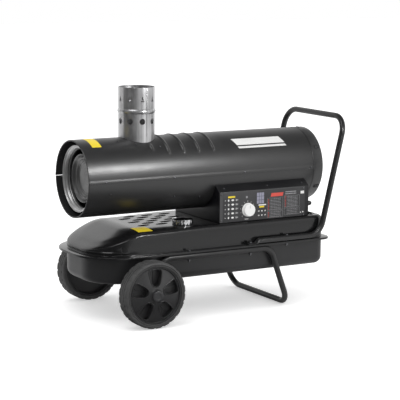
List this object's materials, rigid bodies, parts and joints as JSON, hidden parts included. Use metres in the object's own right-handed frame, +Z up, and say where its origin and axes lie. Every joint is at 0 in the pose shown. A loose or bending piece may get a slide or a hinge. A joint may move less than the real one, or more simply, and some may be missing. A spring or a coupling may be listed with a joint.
{
  "type": "indirect diesel forced air heater",
  "caption": "Wheeled oil-fired hot-air heater: black drum with a flue on a flat fuel tank, control box, tubular leg and push handle.",
  "frame": {"origin": "on the floor, at the middle of the overall length and width", "axes": "+X towards the fan and handle end, -X the hot-air outlet, -Y the control panel side, +Z up"},
  "size_m": [0.9747, 0.5526, 0.753],
  "materials": {
    "black_paint": "glossy black powder coat",
    "tube_paint": "satin black paint",
    "galvanised": "galvanised sheet",
    "heat_steel": "satin heat-resisting steel",
    "zinc": "zinc plated",
    "chrome": "chromed",
    "rubber": "matt black rubber",
    "tyre_rubber": "matt black rubber",
    "black_plastic": "moulded black plastic",
    "white_plastic": "moulded white plastic",
    "cast_alloy": "cast",
    "motor_paint": "grey motor paint",
    "brass": "machined",
    "ceramic": "glazed ceramic",
    "board_green": "printed circuit board"
  },
  "bodies": {
    "chassis": {"fuel_tank_shell": "black_paint", "fuel_tank_lid": "black_paint", "tank_cover": "black_paint", "drum_lower_shell": "black_paint", "drum_upper_shell": "black_paint", "rear_collar": "black_paint", "rear_guard": "black_paint", "control_box": "black_paint", "leg_frame": "tube_paint", "handle": "tube_paint", "motor_bracket": "tube_paint", "flue_pipe": "galvanised", "heat_exchanger_ring": "heat_steel", "combustion_chamber": "heat_steel", "exchanger_support_front": "heat_steel", "exchanger_support_rear": "heat_steel", "filler_neck": "zinc", "drain_plug": "zinc", "axle": "zinc", "bolt_front_left": "zinc", "bolt_front_right": "zinc", "bolt_middle_left": "zinc", "bolt_middle_right": "zinc", "bolt_rear_left": "zinc", "bolt_rear_right": "zinc", "nut_front_left": "zinc", "nut_front_right": "zinc", "nut_middle_left": "zinc", "nut_middle_right": "zinc", "nut_rear_left": "zinc", "nut_rear_right": "zinc", "fuel_hose": "rubber", "hub_cap_left": "black_plastic", "hub_cap_right": "black_plastic", "control_panel": "black_plastic", "cable_gland": "black_plastic", "thermostat_body": "black_plastic", "ignition_transformer": "black_plastic", "flame_photocell": "black_plastic", "burner_head": "cast_alloy", "fuel_pump_body": "cast_alloy", "fuel_pump_cover": "cast_alloy", "fan_motor_housing": "motor_paint", "fuel_strainer": "brass", "fuel_pickup": "brass", "nozzle_line": "brass", "motor_stator": "brass", "ignition_electrode": "ceramic", "control_board": "board_green"},
    "wheel_left": {"wheel_hub_left": "black_plastic", "tyre_left": "tyre_rubber"},
    "wheel_right": {"wheel_hub_right": "black_plastic", "tyre_right": "tyre_rubber"},
    "rotor": {"motor_shaft": "zinc", "fan": "black_plastic", "fuel_pump_rotor": "zinc"},
    "knob": {"thermostat_knob": "white_plastic"},
    "cap_carrier": {"cap_seal": "rubber"},
    "cap": {"fuel_cap": "chrome"}
  },
  "joints": [
    {"name": "wheel_left_spin", "type": "hinge", "parent": "chassis", "child": "wheel_left", "pos_m": [-0.3005, -0.2265, 0.109], "axis": [0, 1, 0], "continuous": true},
    {"name": "wheel_right_spin", "type": "hinge", "parent": "chassis", "child": "wheel_right", "pos_m": [-0.3005, 0.2265, 0.109], "axis": [0, 1, 0], "continuous": true},
    {"name": "fan_spin", "type": "hinge", "parent": "chassis", "child": "rotor", "pos_m": [0.3, 0, 0.461], "axis": [1, 0, 0], "continuous": true},
    {"name": "knob_turn", "type": "hinge", "parent": "chassis", "child": "knob", "pos_m": [0.105, -0.152, 0.3394], "axis": [0, -1, 0], "range_deg": [0, 270]},
    {"name": "fuel_cap_lift", "type": "slide", "parent": "chassis", "child": "cap_carrier", "axis": [0, 0, 1], "range_m": [0, 0.022]},
    {"name": "fuel_cap_turn", "type": "hinge", "parent": "cap_carrier", "child": "cap", "pos_m": [-0.113, -0.094, 0.3], "axis": [0, 0, 1], "range_deg": [0, 90]}
  ]
}
